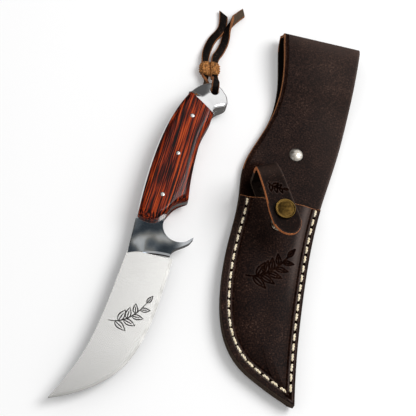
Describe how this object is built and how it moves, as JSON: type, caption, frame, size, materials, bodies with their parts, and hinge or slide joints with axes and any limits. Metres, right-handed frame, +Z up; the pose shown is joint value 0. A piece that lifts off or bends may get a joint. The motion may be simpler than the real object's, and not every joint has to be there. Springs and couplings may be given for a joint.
{
  "type": "hunting knife with sheath",
  "caption": "Full-tang skinning knife with hooked guard, wood scales, polished pommel and thong, beside its stitched leather belt sheath with snap strap.",
  "frame": {"origin": "middle of the knife and sheath together, without the lanyard, on the surface they lie on", "axes": "+Z up from that surface, +Y towards the pommel and the belt loop's fold, +X from the knife to the sheath"},
  "size_m": [0.1934, 0.2747, 0.0358],
  "materials": {
    "blade_steel": "satin ground",
    "pommel_steel": "mirror polished",
    "pin_steel": "polished flush",
    "handle_wood": "oiled, dark streaks",
    "sheath_leather": "oiled, matt",
    "strap_leather": "oiled, matt",
    "thong_leather": "raw edges",
    "bead_leather": "raw, rough",
    "seam_thread": "waxed cream thread",
    "snap_brass": "antique",
    "rivet_nickel": "nickel plated"
  },
  "bodies": {
    "sheath": {"back_panel": "sheath_leather", "pocket_welt": "sheath_leather", "front_panel": "sheath_leather", "front_stitching": "seam_thread", "back_stitching": "seam_thread", "loop_rivet_cap": "rivet_nickel", "loop_rivet_post": "rivet_nickel", "strap_foot": "strap_leather", "strap_foot_rivet": "rivet_nickel", "snap_stud": "rivet_nickel", "stud_eyelet": "rivet_nickel"},
    "strap_riser": {"strap_riser": "strap_leather"},
    "strap_leg": {"strap_leg": "strap_leather", "snap_cap": "snap_brass", "snap_socket": "snap_brass"},
    "knife": {"blade_tang": "blade_steel", "scale_front": "handle_wood", "scale_back": "handle_wood", "pommel_front": "pommel_steel", "pommel_back": "pommel_steel", "pommel_dowels": "pin_steel", "lanyard_tube": "pommel_steel", "handle_pin_1": "pin_steel", "handle_pin_2": "pin_steel", "handle_pin_3": "pin_steel", "lanyard_front": "thong_leather", "lanyard_back": "thong_leather"},
    "bead": {"lanyard_bead": "bead_leather"}
  },
  "joints": [
    {"name": "knife_lift", "type": "slide", "parent": "sheath", "child": "knife", "axis": [0, 0, 1], "range_m": [0, 0.12]},
    {"name": "strap_root", "type": "hinge", "parent": "sheath", "child": "strap_riser", "pos_m": [0.02932, 0.02171, 0.0063], "axis": [0.9521, 0.3057, 0], "range_deg": [-70, 8]},
    {"name": "strap_crest", "type": "hinge", "parent": "strap_riser", "child": "strap_leg", "pos_m": [0.03077, 0.01719, 0.03039], "axis": [0.9521, 0.3057, 0], "range_deg": [-75, 15]},
    {"name": "bead_slide", "type": "slide", "parent": "knife", "child": "bead", "axis": [0, 1, 0], "range_m": [0, 0.004]}
  ]
}
